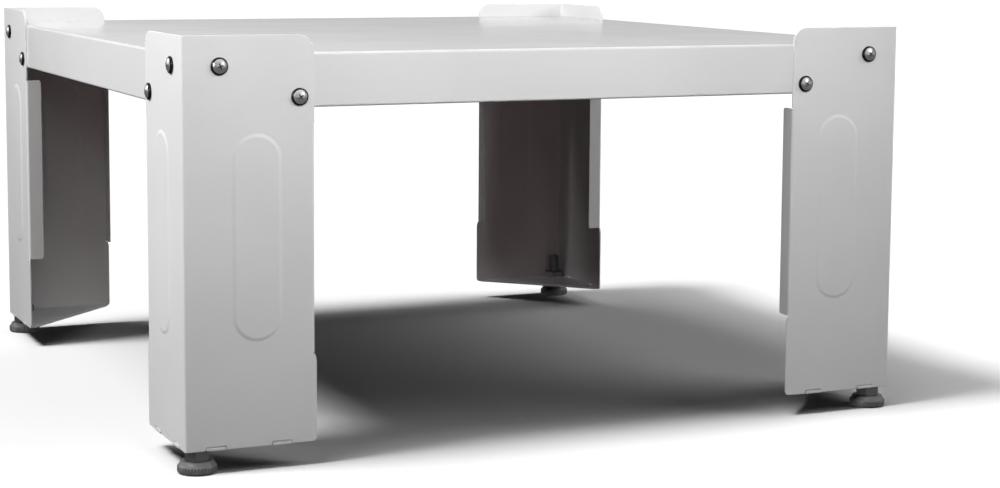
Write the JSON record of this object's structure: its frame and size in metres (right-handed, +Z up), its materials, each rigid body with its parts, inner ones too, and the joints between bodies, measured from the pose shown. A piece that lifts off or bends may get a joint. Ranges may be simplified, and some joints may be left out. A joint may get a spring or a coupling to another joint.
{
  "type": "laundry machine stand",
  "caption": "Raised sheet-steel stand for a laundry machine: a flat skirted deck between angle legs with retaining lips, on levelling feet with lock nuts.",
  "frame": {"origin": "on the floor, below the middle of the deck", "axes": "+X left to right, +Y front to back, +Z up"},
  "size_m": [0.6112, 0.6352, 0.3175],
  "materials": {
    "deck_paint": "gloss white powder coat",
    "leg_paint": "satin white powder coat",
    "plain_steel": "plain welded steel",
    "plated_steel": "zinc plated",
    "bright_plating": "bright nickel plated",
    "dark_steel": "dark zinc plated",
    "foot_moulding": "dark grey moulded plastic, fine ribs"
  },
  "bodies": {
    "frame": {"deck": "deck_paint", "stiffening_channel_front": "deck_paint", "stiffening_channel_rear": "deck_paint", "leg_front_left": "leg_paint", "leg_front_right": "leg_paint", "leg_rear_left": "leg_paint", "leg_rear_right": "leg_paint", "bottom_plate_front_left": "leg_paint", "bottom_plate_front_right": "leg_paint", "bottom_plate_rear_left": "leg_paint", "bottom_plate_rear_right": "leg_paint", "weld_nut_front_left": "plain_steel", "weld_nut_front_right": "plain_steel", "weld_nut_rear_left": "plain_steel", "weld_nut_rear_right": "plain_steel", "deck_screws_front_left": "bright_plating", "deck_screws_front_right": "bright_plating", "deck_screws_rear_left": "bright_plating", "deck_screws_rear_right": "bright_plating", "deck_nuts_front_left": "plated_steel", "deck_nuts_front_right": "plated_steel", "deck_nuts_rear_left": "plated_steel", "deck_nuts_rear_right": "plated_steel"},
    "foot_stud_front_left": {"foot_stud_front_left": "plated_steel"},
    "foot_base_front_left": {"foot_base_front_left": "foot_moulding"},
    "lock_nut_front_left": {"lock_nut_front_left": "dark_steel"},
    "foot_stud_front_right": {"foot_stud_front_right": "plated_steel"},
    "foot_base_front_right": {"foot_base_front_right": "foot_moulding"},
    "lock_nut_front_right": {"lock_nut_front_right": "dark_steel"},
    "foot_stud_rear_left": {"foot_stud_rear_left": "plated_steel"},
    "foot_base_rear_left": {"foot_base_rear_left": "foot_moulding"},
    "lock_nut_rear_left": {"lock_nut_rear_left": "dark_steel"},
    "foot_stud_rear_right": {"foot_stud_rear_right": "plated_steel"},
    "foot_base_rear_right": {"foot_base_rear_right": "foot_moulding"},
    "lock_nut_rear_right": {"lock_nut_rear_right": "dark_steel"}
  },
  "joints": [
    {"name": "foot_height_front_left", "type": "slide", "parent": "frame", "child": "foot_stud_front_left", "axis": [0, 0, -1], "range_m": [0, 0.015]},
    {"name": "foot_turn_front_left", "type": "hinge", "parent": "foot_stud_front_left", "child": "foot_base_front_left", "pos_m": [-0.29, -0.302, 0.0045], "axis": [0, 0, -1], "range_deg": [0, 3600]},
    {"name": "lock_nut_turn_front_left", "type": "hinge", "parent": "frame", "child": "lock_nut_front_left", "pos_m": [-0.29, -0.302, 0.01325], "axis": [0, 0, -1], "range_deg": [0, 60]},
    {"name": "foot_height_front_right", "type": "slide", "parent": "frame", "child": "foot_stud_front_right", "axis": [0, 0, -1], "range_m": [0, 0.015]},
    {"name": "foot_turn_front_right", "type": "hinge", "parent": "foot_stud_front_right", "child": "foot_base_front_right", "pos_m": [0.29, -0.302, 0.0045], "axis": [0, 0, -1], "range_deg": [0, 3600]},
    {"name": "lock_nut_turn_front_right", "type": "hinge", "parent": "frame", "child": "lock_nut_front_right", "pos_m": [0.29, -0.302, 0.01325], "axis": [0, 0, -1], "range_deg": [0, 60]},
    {"name": "foot_height_rear_left", "type": "slide", "parent": "frame", "child": "foot_stud_rear_left", "axis": [0, 0, -1], "range_m": [0, 0.015]},
    {"name": "foot_turn_rear_left", "type": "hinge", "parent": "foot_stud_rear_left", "child": "foot_base_rear_left", "pos_m": [-0.29, 0.302, 0.0045], "axis": [0, 0, -1], "range_deg": [0, 3600]},
    {"name": "lock_nut_turn_rear_left", "type": "hinge", "parent": "frame", "child": "lock_nut_rear_left", "pos_m": [-0.29, 0.302, 0.01325], "axis": [0, 0, -1], "range_deg": [0, 60]},
    {"name": "foot_height_rear_right", "type": "slide", "parent": "frame", "child": "foot_stud_rear_right", "axis": [0, 0, -1], "range_m": [0, 0.015]},
    {"name": "foot_turn_rear_right", "type": "hinge", "parent": "foot_stud_rear_right", "child": "foot_base_rear_right", "pos_m": [0.29, 0.302, 0.0045], "axis": [0, 0, -1], "range_deg": [0, 3600]},
    {"name": "lock_nut_turn_rear_right", "type": "hinge", "parent": "frame", "child": "lock_nut_rear_right", "pos_m": [0.29, 0.302, 0.01325], "axis": [0, 0, -1], "range_deg": [0, 60]}
  ],
  "couplings": [
    {"joint": "foot_turn_front_left", "follows": "foot_height_front_left", "rad_per_m": 4188.8},
    {"joint": "foot_turn_front_right", "follows": "foot_height_front_right", "rad_per_m": 4188.8},
    {"joint": "foot_turn_rear_left", "follows": "foot_height_rear_left", "rad_per_m": 4188.8},
    {"joint": "foot_turn_rear_right", "follows": "foot_height_rear_right", "rad_per_m": 4188.8}
  ]
}
